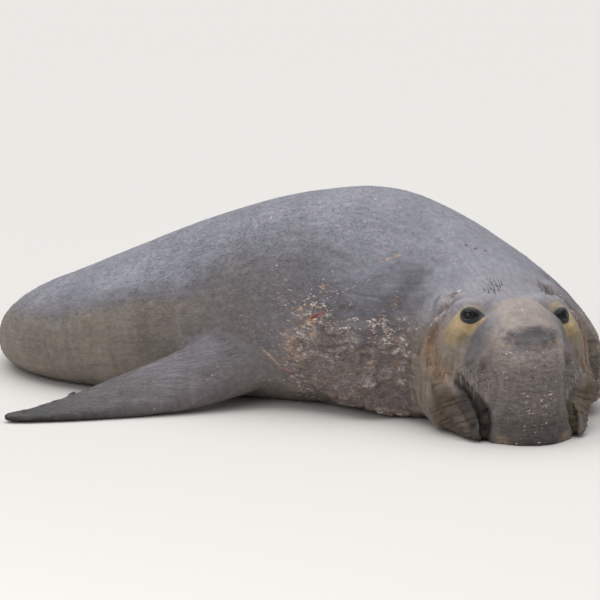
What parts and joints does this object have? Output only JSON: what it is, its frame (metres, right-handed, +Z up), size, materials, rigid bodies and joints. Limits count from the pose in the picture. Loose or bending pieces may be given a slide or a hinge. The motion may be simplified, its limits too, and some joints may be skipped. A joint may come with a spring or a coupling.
{
  "type": "elephant seal",
  "caption": "Life-size still model of a young bull northern elephant seal lying on its belly, with its head turned and its proboscis resting on the floor.",
  "frame": {"origin": "middle of the footprint, on the floor", "axes": "+Z up; the head faces -Y and the hind flippers lie towards +Y; +X is the animal's left at the head"},
  "size_m": [2.1788, 3.2714, 0.7343],
  "materials": {
    "skin": "short flat fur over wrinkled skin, dull",
    "nose": "finely cracked bare-looking skin, dull",
    "flipper": "smooth dark skin with a slight sheen",
    "eye": "wet and glossy",
    "nail": "dull horn",
    "whisker": "stiff hair, slightly glossy"
  },
  "bodies": {
    "root": {"head": "skin", "proboscis": "nose", "lower_jaw": "skin", "neck": "skin", "chest": "skin", "loin": "skin", "hips": "skin", "tail": "skin", "fore_flipper_left": "flipper", "fore_flipper_right": "flipper", "hind_flipper_left": "flipper", "hind_flipper_right": "flipper", "eye_left": "eye", "eye_right": "eye"}
  },
  "joints": []
}
